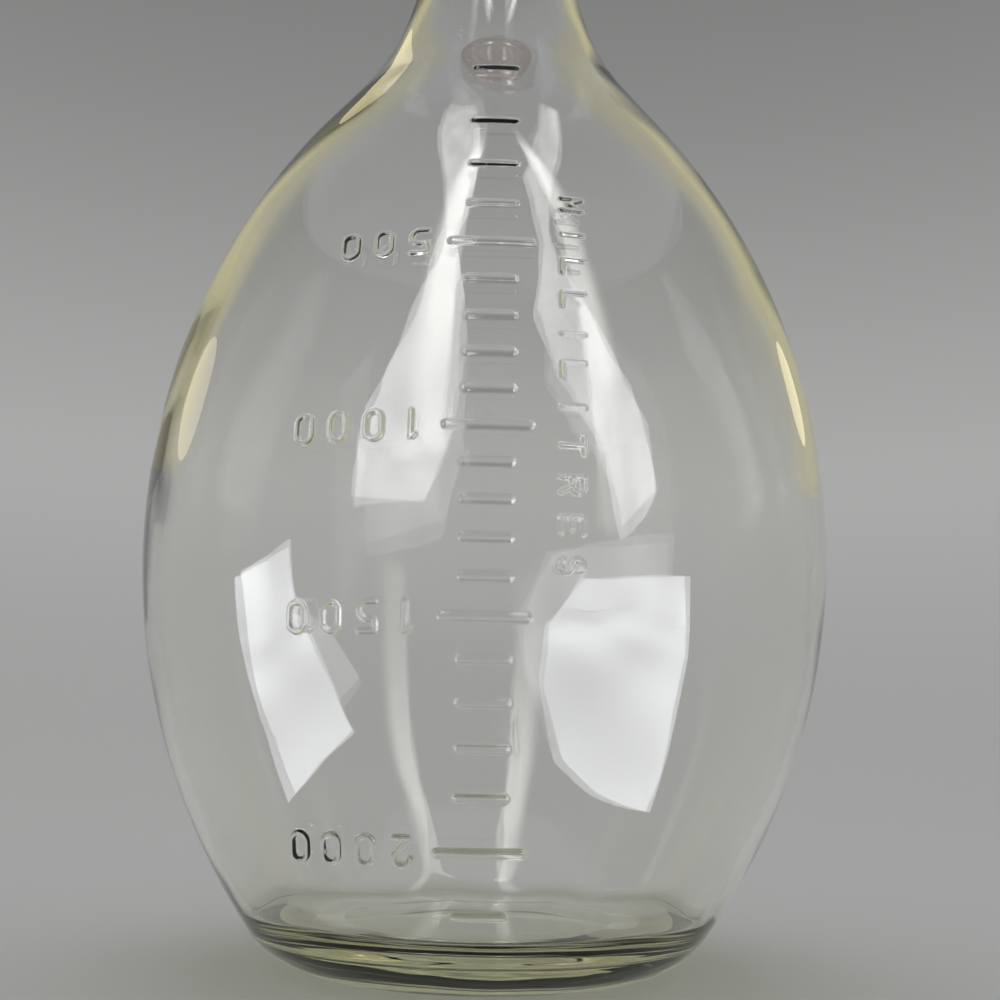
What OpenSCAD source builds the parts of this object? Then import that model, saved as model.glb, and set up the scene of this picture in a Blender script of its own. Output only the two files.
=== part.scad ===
// Egg-shaped graduated glass bottle that is read while it hangs mouth down.
// A two-hole rubber stopper closes it and carries an outlet tube and an air tube.
// The bottle stands on its base at z = 0, its axis is z, and the scale faces -y.

/* [Bottle] */
// Outer diameter at the widest place
belly_d = 147; // [140:1:160]
// Height of the widest place above the base
belly_z = 88; // [80:1:100]
// Radius of the side's curve below the widest place
lower_curve_r = 138; // [125:1:180]
// Radius of the side's curve above the widest place
upper_curve_r = 147; // [135:1:160]
// Angle of the shoulder's straight stretch from the axis
shoulder_angle = 38; // [35:0.5:40]
// Radius of the hollow curve from the shoulder into the neck
neck_curve_r = 75; // [60:1:85]
// Outer diameter of the neck
neck_d = 35; // [32:0.5:38]
// Length of the straight neck, from the hollow curve to the mouth
neck_len = 43; // [36:1:70]
// Thickness of the glass at the side
wall = 3; // [2.4:0.1:4]

/* [Base] */
// Radius of the turn from the side into the base
heel_r = 20; // [14:1:24]
// Height of the inside floor's edge above the table
floor_z = 10.5; // [8:0.5:13]
// Radius of the turn from the inside wall into the inside floor
floor_edge_r = 7; // [4:0.5:9]
// How much higher the inside floor is at its middle
floor_crown = 1.5; // [0.5:0.5:3]
// Width of the flat ring that the bottle stands on
standing_ring_w = 4; // [2:0.5:8]
// Depth of the hollow under the base
punt_depth = 3.5; // [1:0.5:6]

/* [Mouth] */
// Diameter of the thick ring round the mouth
lip_d = 44; // [41:0.5:50]
// Height of the thick ring
lip_h = 12; // [9:0.5:16]
// Rounding of the thick ring's edges
lip_edge_r = 3.5; // [1:0.5:3.5]
// Rounding of the mouth's inner edge
mouth_edge_r = 1; // [0.4:0.1:1.5]
// How deep the cone that seats the stopper reaches into the mouth
seat_depth = 8; // [6:0.5:11]

/* [Scale] */
// Volume between two marks in millilitres
mark_step_ml = 100; // [50:50:200]
// Every how many marks there is a long one with a number
marks_per_number = 5; // [2:1:10]
// Length of a short mark
short_mark = 9.6; // [6:0.2:12]
// Length of a long mark
long_mark = 16; // [12:0.5:20]
// Width of the raised marks
mark_w = 1.8; // [1.2:0.1:2.4]
// How far the marks and figures stand out of the glass
relief = 0.7; // [0.4:0.1:1.2]
// Height of the figures
figure_h = 6; // [4.5:0.1:7]
// Width of the figures
figure_w = 3.9; // [3:0.1:5]
// Width of the figures' strokes
stroke_w = 1.1; // [0.8:0.1:1.3]
// Distance from one figure to the next
figure_pitch = 6.6; // [5.8:0.1:8]
// Distance from the scale's middle to the first figure's middle
figure_start = 13.2; // [12.5:0.1:16]

/* [Stopper] */
// Angle of the stopper's side from its axis
stopper_angle = 8; // [6:0.5:9]
// Length of the stopper
stopper_len = 25; // [22:1:30]
// How deep the stopper sits in the mouth
stopper_depth = 14; // [12:0.5:17]
// Gap between the stopper and its seat in the mouth
seat_gap = 0.15; // [0.1:0.05:0.3]
// Bevel on the stopper's edges
stopper_bevel = 0.8; // [0.4:0.1:1.2]

/* [Tubes] */
// Outer diameter of the outlet tube
outlet_d = 8; // [6:0.5:9]
// Bore of the outlet tube
outlet_bore = 5; // [3:0.5:5]
// How far the outlet tube reaches below the stopper
outlet_inside = 1; // [0.5:0.5:6]
// Length of the outlet tube's free end, which takes a hose
outlet_free = 30; // [20:1:50]
// Outer diameter of the air tube
air_d = 6; // [4:0.5:7]
// Bore of the air tube
air_bore = 3.5; // [2:0.5:3.5]
// How far the air tube reaches below the stopper
air_inside = 6; // [2:0.5:12]
// Length of the air tube's free end, which takes a filter or a hose
air_free = 18; // [12:1:50]
// Radius of the round bead that stops each tube on the stopper
bead_r = 1.6; // [1:0.1:2]
// Gap between a bead and the stopper
bead_gap = 0.1; // [0.05:0.05:0.3]
// Distance of each tube's middle from the stopper's middle
tube_offset = 6.2; // [5.8:0.1:6.8]
// Gap between a tube and its hole in the stopper
hole_gap = 0.05; // [0.03:0.01:0.1]

/* [Hidden] */
$fn = 72;

// How far a chord may cut inside a true curve
chord_error = 0.03;
// How deep the relief's solids reach into the glass
relief_root = 1;
// Step of the sum that turns height into volume
volume_step = 0.5;
// Space that the lowest mark keeps above the inside floor's edge
scale_margin = 5;
mm3_per_ml = 1000;

belly_r = belly_d / 2;
neck_r = neck_d / 2;
lower_c = [belly_r - lower_curve_r, belly_z];
upper_c = [belly_r - upper_curve_r, belly_z];

// The heel's curve touches both the table and the side's lower curve
heel_reach = lower_curve_r - heel_r;
heel_angle = asin((belly_z - heel_r) / heel_reach);
heel_c = [lower_c[0] + heel_reach * cos(heel_angle), heel_r];
punt_r = heel_c[0] - standing_ring_w;
punt_curve_r = (punt_r * punt_r + punt_depth * punt_depth) / (2 * punt_depth);

// The shoulder's straight stretch touches the upper curve and the neck's curve
shoulder_top_r = neck_r + neck_curve_r * (1 - cos(shoulder_angle));
shoulder_bottom = upper_c + upper_curve_r * [cos(shoulder_angle), sin(shoulder_angle)];
shoulder_len = (shoulder_bottom[0] - shoulder_top_r) / sin(shoulder_angle);
shoulder_rise = shoulder_len * cos(shoulder_angle);
neck_z = shoulder_bottom[1] + shoulder_rise + neck_curve_r * sin(shoulder_angle);
neck_c = [neck_r + neck_curve_r, neck_z];
mouth_z = neck_z + neck_len;
bore_r = neck_r - wall;

// The seat widens the bore towards the mouth, and the stopper's side keeps its gap to it
stopper_z = mouth_z - stopper_depth;
stopper_slope = tan(stopper_angle);
seat_z = mouth_z - seat_depth;
seat_top_r = bore_r + stopper_slope * (seat_depth - mouth_edge_r);
stopper_small_r = bore_r - seat_gap - stopper_slope * (stopper_depth - seat_depth);
stopper_large_r = stopper_small_r + stopper_slope * stopper_len;

// The inside floor's edge curve touches the wall's inside and the floor
inner_lower_r = lower_curve_r - wall;
edge_reach = inner_lower_r - floor_edge_r;
edge_angle = asin((belly_z - floor_z - floor_edge_r) / edge_reach);
edge_c = [lower_c[0] + edge_reach * cos(edge_angle), floor_z + floor_edge_r];
floor_curve_r = (edge_c[0] * edge_c[0] + floor_crown * floor_crown) / (2 * floor_crown);

// Points along an arc, as many as its curve needs
function arc_steps(r, sweep) = max(2, ceil(abs(sweep) / (2 * acos(1 - chord_error / r))));
function arc(c, r, from, to) =
    let (n = arc_steps(r, to - from))
    [for (i = [0 : n]) let (a = from + (to - from) * i / n) c + r * [cos(a), sin(a)]];

// The side up to the neck from an angle below the widest place, moved out by a distance
function side(out, below) = concat(
    arc(lower_c, lower_curve_r + out, -below, 0),
    arc(upper_c, upper_curve_r + out, 0, shoulder_angle),
    arc(neck_c, neck_curve_r - out, 180 + shoulder_angle, 180)
);
function reversed(list) = [for (i = [len(list) - 1 : -1 : 0]) list[i]];

// Radius of the side at a height, moved out by a distance
function side_r(z, out) =
    let (
        upper_r = upper_curve_r + out,
        lower_r = lower_curve_r + out,
        hollow_r = neck_curve_r - out,
        cone_z = upper_c[1] + upper_r * sin(shoulder_angle),
        cone_r = upper_c[0] + upper_r * cos(shoulder_angle),
        hollow_z = neck_z - hollow_r * sin(shoulder_angle)
    )
    z < belly_z ? lower_c[0] + sqrt(pow(lower_r, 2) - pow(z - belly_z, 2))
    : z < cone_z ? upper_c[0] + sqrt(pow(upper_r, 2) - pow(z - belly_z, 2))
    : z < hollow_z ? cone_r - (z - cone_z) * tan(shoulder_angle)
    : z < neck_z ? neck_c[0] - sqrt(pow(hollow_r, 2) - pow(neck_z - z, 2))
    : neck_r + out;

// Volume from the stopper down to each height, so that the scale reads from the mouth
function slice_ml(z) = PI * pow(side_r(z, -wall), 2) * volume_step / mm3_per_ml;
scale_floor_z = floor_z + scale_margin;
depth_of_volume = [
    for (z = stopper_z, v = 0; z > scale_floor_z; v = v + slice_ml(z - volume_step / 2), z = z - volume_step)
        [v, z]
];
scale_ml = depth_of_volume[len(depth_of_volume) - 1][0];
function mark_z(ml) = lookup(ml, depth_of_volume);
numbered_ml = mark_step_ml * marks_per_number;

module stroke(from, to) {
    run = to - from;
    translate(from) rotate(atan2(run[1], run[0])) {
        translate([0, -stroke_w / 2]) square([norm(run), stroke_w]);
        circle(d = stroke_w);
        translate([norm(run), 0]) circle(d = stroke_w);
    }
}

module ring(c, r) {
    translate(c) difference() {
        circle(r + stroke_w / 2);
        circle(r - stroke_w / 2);
    }
}

// Part of a round stroke about a centre, with round ends
module bow(c, r, from, to) {
    sector = [for (i = [0 : 8]) let (a = from + (to - from) * i / 8) c + 2 * figure_h * [cos(a), sin(a)]];
    intersection() {
        ring(c, r);
        polygon(concat([c], sector));
    }
    for (a = [from, to]) translate(c + r * [cos(a), sin(a)]) circle(d = stroke_w);
}

// Figures drawn upright about their middle, in a box that reaches w and h each way
module figure(sign) {
    w = (figure_w - stroke_w) / 2;
    h = (figure_h - stroke_w) / 2;
    if (sign == "0") {
        for (x = [-w, w]) stroke([x, w - h], [x, h - w]);
        bow([0, h - w], w, 0, 180);
        bow([0, w - h], w, 180, 360);
    }
    if (sign == "1") {
        stroke([0, -h], [0, h]);
        stroke([0, h], [-w / 2, h - w / 2]);
    }
    if (sign == "2") {
        bow([0, h - w], w, -30, 180);
        stroke(w * [cos(30), -sin(30)] + [0, h - w], [-w, -h]);
        stroke([-w, -h], [w, -h]);
    }
    if (sign == "3") {
        bow([0, h / 2], h / 2, -90, 150);
        bow([0, -h / 2], h / 2, -150, 90);
    }
    if (sign == "4") {
        stroke([w / 2, -h], [w / 2, h]);
        stroke([w / 2, h], [-w, -h / 3]);
        stroke([-w, -h / 3], [w, -h / 3]);
    }
    if (sign == "5") {
        bowl_r = 0.6 * h;
        stroke([w, h], [-w, h]);
        stroke([-w, h], [-w, 2 * bowl_r - h]);
        stroke([-w, 2 * bowl_r - h], [w - bowl_r, 2 * bowl_r - h]);
        bow([w - bowl_r, bowl_r - h], bowl_r, -90, 90);
        stroke([w - bowl_r, -h], [-w, -h]);
    }
    if (sign == "6") six(w, h);
    if (sign == "7") {
        stroke([-w, h], [w, h]);
        stroke([w, h], [-w / 3, -h]);
    }
    if (sign == "8") for (y = [-h / 2, h / 2]) ring([0, y], h / 2);
    if (sign == "9") rotate(180) six(w, h);
}

module six(w, h) {
    ring([0, w - h], w);
    stroke([-w, w - h], [w / 3, h]);
}

module mark(ml) {
    numbered = ml % numbered_ml == 0;
    run = (numbered ? long_mark : short_mark) - mark_w;
    translate([0, mark_z(ml)]) {
        square([run, mark_w], center = true);
        for (x = [-run / 2, run / 2]) translate([x, 0]) circle(d = mark_w);
        if (numbered) rotate(180) number(str(ml), side_r(mark_z(ml), 0));
    }
}

// A number that runs round the glass, each figure set by its arc from the scale
module number(signs, r) {
    for (i = [0 : len(signs) - 1]) {
        turn = (figure_start + figure_pitch * i) / r * 180 / PI;
        translate([r * sin(turn), 0]) figure(signs[i]);
    }
}

module scale_outline() {
    for (ml = [mark_step_ml : mark_step_ml : scale_ml]) mark(ml);
}

module raised_scale() {
    intersection() {
        rotate([90, 0, 0]) linear_extrude(belly_d) scale_outline();
        rotate_extrude() polygon(concat(side(relief, heel_angle), reversed(side(-relief_root, heel_angle))));
    }
}

module bottle() {
    lip_z = mouth_z - lip_h;
    edge_r = min(lip_edge_r, 0.9 * (lip_d - neck_d) / 2);
    outside = concat(
        reversed(arc([0, punt_depth - punt_curve_r], punt_curve_r, asin(1 - punt_depth / punt_curve_r), 90)),
        arc(heel_c, heel_r, -90, -heel_angle),
        side(0, heel_angle),
        [[neck_r, lip_z]],
        arc([lip_d / 2 - edge_r, lip_z + edge_r], edge_r, -90, 0),
        arc([lip_d / 2 - edge_r, mouth_z - edge_r], edge_r, 0, 90)
    );
    inside = concat(
        arc([seat_top_r + mouth_edge_r, mouth_z - mouth_edge_r], mouth_edge_r, 90, 180),
        [[bore_r, seat_z]],
        reversed(side(-wall, edge_angle)),
        reversed(arc(edge_c, floor_edge_r, -90, -edge_angle)),
        arc([0, floor_z + floor_crown - floor_curve_r], floor_curve_r, acos(edge_c[0] / floor_curve_r), 90)
    );
    color([0.82, 0.88, 0.8, 0.45]) {
        rotate_extrude() polygon(concat(outside, inside));
        raised_scale();
    }
}

module stopper() {
    color([0.45, 0.17, 0.11]) translate([0, 0, stopper_z]) difference() {
        rotate_extrude() polygon([
            [0, 0],
            [stopper_small_r - stopper_bevel, 0],
            [stopper_small_r + stopper_slope * stopper_bevel, stopper_bevel],
            [stopper_large_r - stopper_slope * stopper_bevel, stopper_len - stopper_bevel],
            [stopper_large_r - stopper_bevel, stopper_len],
            [0, stopper_len]
        ]);
        translate([-tube_offset, 0, -1]) cylinder(d = outlet_d + 2 * hole_gap, h = stopper_len + 2);
        translate([tube_offset, 0, -1]) cylinder(d = air_d + 2 * hole_gap, h = stopper_len + 2);
    }
}

// A straight glass tube with its ends melted round and a bead that rests on the stopper
module tube(d, bore, inside, free) {
    end_r = (d - bore) / 4;
    mid_r = (d + bore) / 4;
    bead_z = inside + stopper_len + bead_gap + bead_r;
    length = bead_z + bead_r + free;
    translate([0, 0, stopper_z - inside]) rotate_extrude() polygon(concat(
        arc([mid_r, end_r], end_r, -180, 0),
        arc([d / 2, bead_z], bead_r, -90, 90),
        arc([mid_r, length - end_r], end_r, 0, 180)
    ));
}

module outlet_tube() {
    color([0.8, 0.88, 0.86, 0.6]) translate([-tube_offset, 0, 0])
        tube(outlet_d, outlet_bore, outlet_inside, outlet_free);
}

module air_tube() {
    color([0.8, 0.88, 0.86, 0.6]) translate([tube_offset, 0, 0])
        tube(air_d, air_bore, air_inside, air_free);
}

bottle();
stopper();
outlet_tube();
air_tube();
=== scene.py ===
"""The looks of a graduated glass bottle that is read mouth down, with its stopper and two tubes."""
import math

import bpy
import numpy as np
from mathutils import Matrix, Vector
from mathutils.geometry import delaunay_2d_cdt


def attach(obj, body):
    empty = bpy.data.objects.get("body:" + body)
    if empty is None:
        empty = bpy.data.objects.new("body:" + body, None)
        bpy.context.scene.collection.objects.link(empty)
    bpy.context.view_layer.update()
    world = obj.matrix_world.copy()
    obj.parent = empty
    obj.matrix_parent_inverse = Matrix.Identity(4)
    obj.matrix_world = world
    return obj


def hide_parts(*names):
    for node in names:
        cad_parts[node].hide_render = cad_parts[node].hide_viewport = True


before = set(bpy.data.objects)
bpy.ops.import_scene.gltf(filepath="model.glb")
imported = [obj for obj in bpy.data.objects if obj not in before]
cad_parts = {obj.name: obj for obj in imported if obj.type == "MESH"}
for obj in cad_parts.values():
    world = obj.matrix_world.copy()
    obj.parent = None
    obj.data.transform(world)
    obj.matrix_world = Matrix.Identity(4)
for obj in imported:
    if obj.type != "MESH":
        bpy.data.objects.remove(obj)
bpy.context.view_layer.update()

MM = 0.001
QUARTER_TURN = math.pi / 2
SAME_POINT = 1e-6
ON_AXIS = 1e-7

# Bottle
BELLY_R = 73.5 * MM
BELLY_Z = 88 * MM
LOWER_CURVE_R = 138 * MM
UPPER_CURVE_R = 147 * MM
SHOULDER_ANGLE = math.radians(38)
NECK_CURVE_R = 75 * MM
NECK_R = 17.5 * MM
NECK_LEN = 43 * MM
WALL = 3 * MM
HEEL_R = 20 * MM
FLOOR_Z = 10.5 * MM
FLOOR_EDGE_R = 7 * MM
FLOOR_CROWN = 1.5 * MM
STANDING_RING_W = 4 * MM
PUNT_DEPTH = 3.5 * MM
PUNT_EDGE_R = 2 * MM
LIP_R = 22 * MM
LIP_H = 12 * MM
LIP_EDGE_R = 3.5 * MM
LIP_ROOT_R = 1.5 * MM
MOUTH_EDGE_R = 1 * MM
SEAT_DEPTH = 8 * MM

# Scale
MARK_STEP_ML = 100
MARKS_PER_NUMBER = 5
LAST_MARK_ML = 2100
SHORT_MARK = 9.6 * MM
LONG_MARK = 16 * MM
MARK_W = 1.8 * MM
MARK_RELIEF = 0.42 * MM
FIGURE_H = 6 * MM
FIGURE_W = 3.9 * MM
STROKE_W = 1.1 * MM
FIGURE_RELIEF = 0.52 * MM
FIGURE_PITCH = 6.6 * MM
FIGURE_START = 13.2 * MM
UNIT_WORD = "MILLILITRES"
WORD_X = 14.4 * MM
WORD_TOP_Z = 144 * MM
WORD_PITCH = 6.8 * MM
LETTER_H = 5 * MM
LETTER_W = 3.8 * MM

# Stopper and tubes
STOPPER_ANGLE = math.radians(8)
STOPPER_LEN = 25 * MM
STOPPER_DEPTH = 14 * MM
SEAT_GAP = 0.15 * MM
TUBE_OFFSET = 6.2 * MM
HOLE_GAP = 0.05 * MM
OUTLET_R = 4 * MM
OUTLET_BORE_R = 2.5 * MM
OUTLET_INSIDE = 1 * MM
OUTLET_FREE = 30 * MM
AIR_R = 3 * MM
AIR_BORE_R = 1.75 * MM
AIR_INSIDE = 6 * MM
AIR_FREE = 18 * MM
BEAD_R = 1.6 * MM
BEAD_GAP = 0.1 * MM

# Steps of the meshes
ROW_STEP = 3 * MM
COLUMNS = 180
TUBE_STEPS = 72
STOPPER_STEPS = 96
HOLE_STEPS = 48

# Where the glass rises beside a stroke, in half widths from its middle line
SLOPE_START = 0.3
SLOPE_END = 1.15

# Camera, as fitted to the bottle's outline in the photograph
CAMERA_PLACE = Vector((0, -286.2 * MM, 49 * MM))
CAMERA_RISE = math.radians(9.99)
CAMERA_TURN = math.radians(0.59)
CAMERA_ROLL = math.radians(1.16)
SENSOR_MM = 36
LENS_MM = 1299.4 * SENSOR_MM / 1000

# Studio
BOTTLE_MIDDLE = (0, 0, 90 * MM)
WINDOW_DISTANCE = 450 * MM
SEEN_THROUGH_LEVEL = 0.5
PALE_GREY = (0.52, 0.52, 0.515, 1)


def arc(centre, radius, start, end, step):
    """Points along an arc in the plane of the outline, no further apart than step."""
    count = max(2, math.ceil(abs(end - start) * radius / step))
    return [
        (centre[0] + radius * math.cos(a), centre[1] + radius * math.sin(a))
        for a in np.linspace(start, end, count + 1)
    ]


def line(start, end, step):
    """Points along a straight stretch of the outline, without its first one."""
    count = max(1, math.ceil(math.dist(start, end) / step))
    return [
        (start[0] + (end[0] - start[0]) * t, start[1] + (end[1] - start[1]) * t)
        for t in np.linspace(0, 1, count + 1)[1:]
    ]


def joined(*stretches):
    """The stretches one after the other, with doubled points left out."""
    points = []
    for stretch in stretches:
        for p in stretch:
            if not points or math.dist(points[-1], p) > SAME_POINT:
                points.append(p)
    return points


class Side:
    """The bottle's curves, moved out by a distance or, for the inside, in by the wall."""

    lower_c = (BELLY_R - LOWER_CURVE_R, BELLY_Z)
    upper_c = (BELLY_R - UPPER_CURVE_R, BELLY_Z)
    shoulder_top_r = NECK_R + NECK_CURVE_R * (1 - math.cos(SHOULDER_ANGLE))
    shoulder_low = (
        upper_c[0] + UPPER_CURVE_R * math.cos(SHOULDER_ANGLE),
        upper_c[1] + UPPER_CURVE_R * math.sin(SHOULDER_ANGLE),
    )
    shoulder_rise = (shoulder_low[0] - shoulder_top_r) / math.tan(SHOULDER_ANGLE)
    neck_z = shoulder_low[1] + shoulder_rise + NECK_CURVE_R * math.sin(SHOULDER_ANGLE)
    neck_c = (NECK_R + NECK_CURVE_R, neck_z)
    mouth_z = neck_z + NECK_LEN
    bore_r = NECK_R - WALL

    def __init__(self, out=0.0):
        self.out = out

    def points(self, below, step):
        """From an angle below the widest place up to the neck's foot."""
        upper = arc(self.upper_c, UPPER_CURVE_R + self.out, 0, SHOULDER_ANGLE, step)
        neck_r = NECK_CURVE_R - self.out
        neck = arc(self.neck_c, neck_r, math.pi + SHOULDER_ANGLE, math.pi, step)
        return joined(
            arc(self.lower_c, LOWER_CURVE_R + self.out, -below, 0, step),
            upper,
            line(upper[-1], neck[0], step),
            neck,
        )


OUTSIDE = Side()
INSIDE = Side(-WALL)
STOPPER_Z = Side.mouth_z - STOPPER_DEPTH
STOPPER_SLOPE = math.tan(STOPPER_ANGLE)
STOPPER_SMALL_R = Side.bore_r - SEAT_GAP - STOPPER_SLOPE * (STOPPER_DEPTH - SEAT_DEPTH)
STOPPER_LARGE_R = STOPPER_SMALL_R + STOPPER_SLOPE * STOPPER_LEN

heel_reach = LOWER_CURVE_R - HEEL_R
HEEL_ANGLE = math.asin((BELLY_Z - HEEL_R) / heel_reach)
HEEL_C = (Side.lower_c[0] + heel_reach * math.cos(HEEL_ANGLE), HEEL_R)
PUNT_R = HEEL_C[0] - STANDING_RING_W
PUNT_CURVE_R = (PUNT_R**2 + PUNT_DEPTH**2) / (2 * PUNT_DEPTH)

edge_reach = LOWER_CURVE_R - WALL - FLOOR_EDGE_R
EDGE_ANGLE = math.asin((BELLY_Z - FLOOR_Z - FLOOR_EDGE_R) / edge_reach)
EDGE_C = (Side.lower_c[0] + edge_reach * math.cos(EDGE_ANGLE), FLOOR_Z + FLOOR_EDGE_R)
FLOOR_CURVE_R = (EDGE_C[0] ** 2 + FLOOR_CROWN**2) / (2 * FLOOR_CROWN)

# The mould's parting line runs round the heel as a fine ridge
HEEL_SEAM_Z = 7.4 * MM
HEEL_SEAM_W = 0.3 * MM
HEEL_SEAM_H = 0.12 * MM


def rounded_corner(before, corner, after, radius, step):
    """A corner of the outline turned on a radius."""
    a = Vector(before) - Vector(corner)
    b = Vector(after) - Vector(corner)
    a.normalize()
    b.normalize()
    half = a.angle(b) / 2
    reach = radius / math.tan(half)
    start = Vector(corner) + a * reach
    end = Vector(corner) + b * reach
    centre = Vector(corner) + (a + b).normalized() * (radius / math.sin(half))
    u = (start - centre).normalized()
    v = (end - centre).normalized()
    sweep = u.angle(v)
    count = max(3, math.ceil(sweep * radius / step))
    turn = math.copysign(1, u.x * v.y - u.y * v.x)
    points = []
    for t in np.linspace(0, sweep, count + 1):
        c, s = math.cos(t), math.sin(t) * turn
        points.append(tuple(centre + radius * Vector((u.x * c - u.y * s, u.x * s + u.y * c))))
    return points


def with_heel_seam(points):
    """Raises the mould's parting line on the heel, with closer points beside it."""
    dense = []
    for p, q in zip(points, points[1:]):
        dense.append(p)
        near = min(abs(p[1] - HEEL_SEAM_Z), abs(q[1] - HEEL_SEAM_Z)) < 3 * HEEL_SEAM_W
        if near and p[0] > PUNT_R:
            dense += line(p, q, HEEL_SEAM_W / 3)[:-1]
    dense.append(points[-1])
    raised = []
    for r, z in dense:
        if r > PUNT_R and z < 3 * HEEL_SEAM_Z:
            away = Vector((r - HEEL_C[0], z - HEEL_C[1])).normalized()
            lift = HEEL_SEAM_H * math.exp(-(((z - HEEL_SEAM_Z) / HEEL_SEAM_W) ** 2))
            r, z = r + away.x * lift, z + away.y * lift
        raised.append((r, z))
    return raised


def outer_outline():
    """From the middle of the hollow base, round the heel and up to the mouth's edge."""
    punt_c = (0, PUNT_DEPTH - PUNT_CURVE_R)
    punt_end = QUARTER_TURN - math.asin(PUNT_R / PUNT_CURVE_R)
    punt = arc(punt_c, PUNT_CURVE_R, QUARTER_TURN, punt_end, 2.5 * MM)
    edge = rounded_corner(punt[-2], (PUNT_R, 0), (HEEL_C[0], 0), PUNT_EDGE_R, 0.4 * MM)
    punt = [p for p in punt if p[0] < edge[0][0]]
    lip_z = Side.mouth_z - LIP_H
    neck_foot, under_lip = (NECK_R, Side.neck_z), (NECK_R, lip_z)
    root = rounded_corner(neck_foot, under_lip, (LIP_R, lip_z), LIP_ROOT_R, 0.3 * MM)
    lip_low = (LIP_R - LIP_EDGE_R, lip_z + LIP_EDGE_R)
    lip_top = (LIP_R - LIP_EDGE_R, Side.mouth_z - LIP_EDGE_R)
    lip_step = 0.5 * MM
    mouth_c = (seat_radius(MOUTH_EDGE_R) + MOUTH_EDGE_R, Side.mouth_z - MOUTH_EDGE_R)
    return joined(
        punt,
        edge,
        with_heel_seam(arc(HEEL_C, HEEL_R, -QUARTER_TURN, -HEEL_ANGLE, 1.2 * MM)),
        OUTSIDE.points(HEEL_ANGLE, ROW_STEP),
        line(neck_foot, root[0], ROW_STEP),
        root,
        arc(lip_low, LIP_EDGE_R, -QUARTER_TURN, 0, lip_step),
        line((LIP_R, lip_low[1]), (LIP_R, lip_top[1]), 1 * MM),
        arc(lip_top, LIP_EDGE_R, 0, QUARTER_TURN, lip_step),
        arc(mouth_c, MOUTH_EDGE_R, QUARTER_TURN, math.pi, 0.2 * MM),
    )


def seat_radius(depth):
    """Radius of the mouth's seat at a depth below the mouth."""
    return Side.bore_r + STOPPER_SLOPE * (SEAT_DEPTH - depth)


def inner_outline():
    """From the mouth's edge down the seat, the neck and the side to the middle of the floor."""
    seat_top = (seat_radius(MOUTH_EDGE_R), Side.mouth_z - MOUTH_EDGE_R)
    seat_foot = (Side.bore_r, Side.mouth_z - SEAT_DEPTH)
    side = INSIDE.points(EDGE_ANGLE, ROW_STEP)[::-1]
    floor_c = (0, FLOOR_Z + FLOOR_CROWN - FLOOR_CURVE_R)
    start = math.acos(EDGE_C[0] / FLOOR_CURVE_R)
    return joined(
        line(seat_top, seat_foot, 1.5 * MM),
        line(seat_foot, side[0], ROW_STEP),
        side,
        arc(EDGE_C, FLOOR_EDGE_R, -EDGE_ANGLE, -QUARTER_TURN, 0.8 * MM),
        arc(floor_c, FLOOR_CURVE_R, start, QUARTER_TURN, ROW_STEP),
    )


# The scale's strokes are drawn in a plane in front of the bottle and laid on the glass from there


def bow(centre, radius, start, end):
    """Part of a round stroke, with its angles in degrees."""
    return arc(centre, radius, math.radians(start), math.radians(end), 0.3 * MM)


def sign_strokes(sign, width, height):
    """A figure's or letter's strokes about its middle, which reach width and height each way."""
    w, h = width, height
    if sign == "0":
        return [bow((0, h - w), w, 0, 180) + bow((0, w - h), w, 180, 360) + [(w, h - w)]]
    if sign == "1":
        return [[(-w / 2, h - w / 2), (0, h), (0, -h)]]
    if sign == "2":
        return [bow((0, h - w), w, 180, -30) + [(-w, -h), (w, -h)]]
    if sign == "5":
        bowl = 0.6 * h
        top = 2 * bowl - h
        return [
            [(w, h), (-w, h), (-w, top), (w - bowl, top)]
            + bow((w - bowl, bowl - h), bowl, 90, -90)
            + [(-w, -h)]
        ]
    if sign == "M":
        return [[(-w, -h), (-w, h), (0, -h / 3), (w, h), (w, -h)]]
    if sign == "I":
        return [[(0, -h), (0, h)]]
    if sign == "L":
        return [[(-w, h), (-w, -h), (w, -h)]]
    if sign == "T":
        return [[(-w, h), (w, h)], [(0, h), (0, -h)]]
    if sign == "R":
        bowl = h / 2
        bend = bow((w - bowl, h - bowl), bowl, 90, -90)
        return [[(-w, -h), (-w, h)] + bend + [(-w, 0)], [(0, 0), (w, -h)]]
    if sign == "E":
        return [[(w, h), (-w, h), (-w, -h), (w, -h)], [(-w, 0), (w / 2, 0)]]
    bend = h / 2
    upper = bow((0, bend), bend, 30, 270)
    lower = bow((0, -bend), bend, 90, -150)
    return [upper + lower]


def marks_by_volume():
    """The height of each mark: the volume from the stopper's inner face down to it."""
    slice_h = 0.5 * MM
    z = STOPPER_Z
    volume = 0.0
    volumes, heights = [volume], [z]
    while z > FLOOR_Z:
        volume += math.pi * INSIDE_R(z - slice_h / 2) ** 2 * slice_h
        z -= slice_h
        volumes.append(volume)
        heights.append(z)
    millilitre = 1e-6
    steps = range(MARK_STEP_ML, LAST_MARK_ML + 1, MARK_STEP_ML)
    return {ml: float(np.interp(ml * millilitre, volumes, heights)) for ml in steps}


def side_lookup(side):
    """A quick way to read a side's radius at a height."""
    rs, zs = zip(*side.points(math.radians(45), 0.2 * MM))

    def radius(z):
        return np.interp(z, zs, rs, right=NECK_R + side.out)

    return radius


INSIDE_R = side_lookup(INSIDE)
OUTSIDE_R = side_lookup(OUTSIDE)


def mark_strokes(marks):
    """The middle lines of the raised marks."""
    strokes = []
    for ml, z in marks.items():
        numbered = ml % (MARK_STEP_ML * MARKS_PER_NUMBER) == 0
        half = ((LONG_MARK if numbered else SHORT_MARK) - MARK_W) / 2
        strokes.append([(-half, z), (half, z)])
    return strokes


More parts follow.
